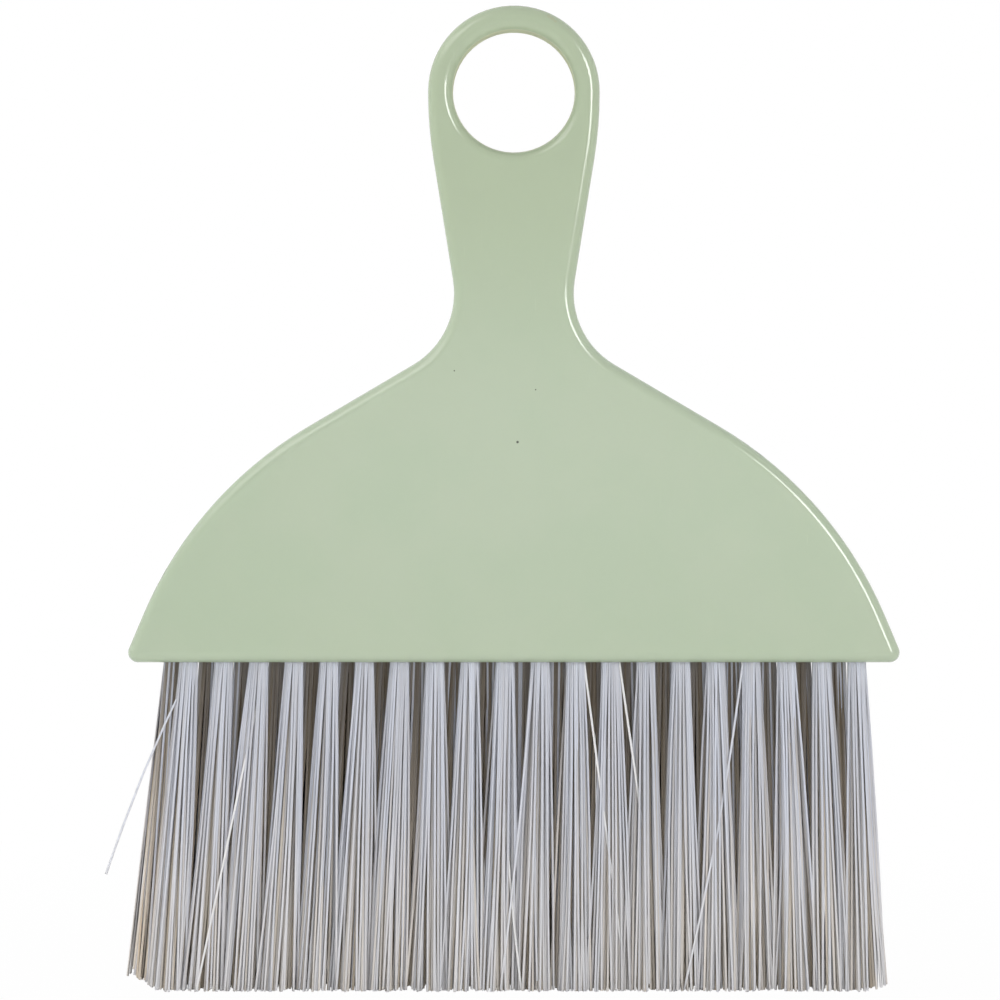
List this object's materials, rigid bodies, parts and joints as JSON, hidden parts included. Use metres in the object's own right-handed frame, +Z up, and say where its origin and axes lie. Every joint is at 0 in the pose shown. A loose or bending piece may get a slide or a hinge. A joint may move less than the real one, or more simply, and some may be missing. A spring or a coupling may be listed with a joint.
{
  "type": "hand broom",
  "caption": "Small hand broom with a flat moulded head that narrows to a handle with a round hanging hole, and rows of straight stapled bristle tufts.",
  "frame": {"origin": "on the plane of the bristle tips, under the middle of the head", "axes": "+Z up along the handle, towards the ring; +Y towards the back; the flat front faces -Y; X along the rows of tufts"},
  "size_m": [0.1388, 0.016, 0.1773],
  "materials": {
    "body_plastic": "glossy sage green moulded polypropylene",
    "cover_plastic": "glossy sage green moulded polypropylene",
    "block_plastic": "plain moulded polypropylene",
    "staple_wire": "flat drawn steel wire",
    "bristle": "cool grey extruded filament, slightly glossy"
  },
  "bodies": {
    "root": {"front_shell": "body_plastic", "rear_cover": "cover_plastic", "tuft_block": "block_plastic", "staples_front_row": "staple_wire", "staples_rear_row": "staple_wire", "tuft_front_01": "bristle", "tuft_front_02": "bristle", "tuft_front_03": "bristle", "tuft_front_04": "bristle", "tuft_front_05": "bristle", "tuft_front_06": "bristle", "tuft_front_07": "bristle", "tuft_front_08": "bristle", "tuft_front_09": "bristle", "tuft_front_10": "bristle", "tuft_front_11": "bristle", "tuft_front_12": "bristle", "tuft_front_13": "bristle", "tuft_front_14": "bristle", "tuft_front_15": "bristle", "tuft_front_16": "bristle", "tuft_front_17": "bristle", "tuft_front_18": "bristle", "tuft_front_19": "bristle", "tuft_front_20": "bristle", "tuft_rear_01": "bristle", "tuft_rear_02": "bristle", "tuft_rear_03": "bristle", "tuft_rear_04": "bristle", "tuft_rear_05": "bristle", "tuft_rear_06": "bristle", "tuft_rear_07": "bristle", "tuft_rear_08": "bristle", "tuft_rear_09": "bristle", "tuft_rear_10": "bristle", "tuft_rear_11": "bristle", "tuft_rear_12": "bristle", "tuft_rear_13": "bristle", "tuft_rear_14": "bristle", "tuft_rear_15": "bristle", "tuft_rear_16": "bristle", "tuft_rear_17": "bristle", "tuft_rear_18": "bristle", "tuft_rear_19": "bristle", "tuft_rear_20": "bristle"}
  },
  "joints": []
}
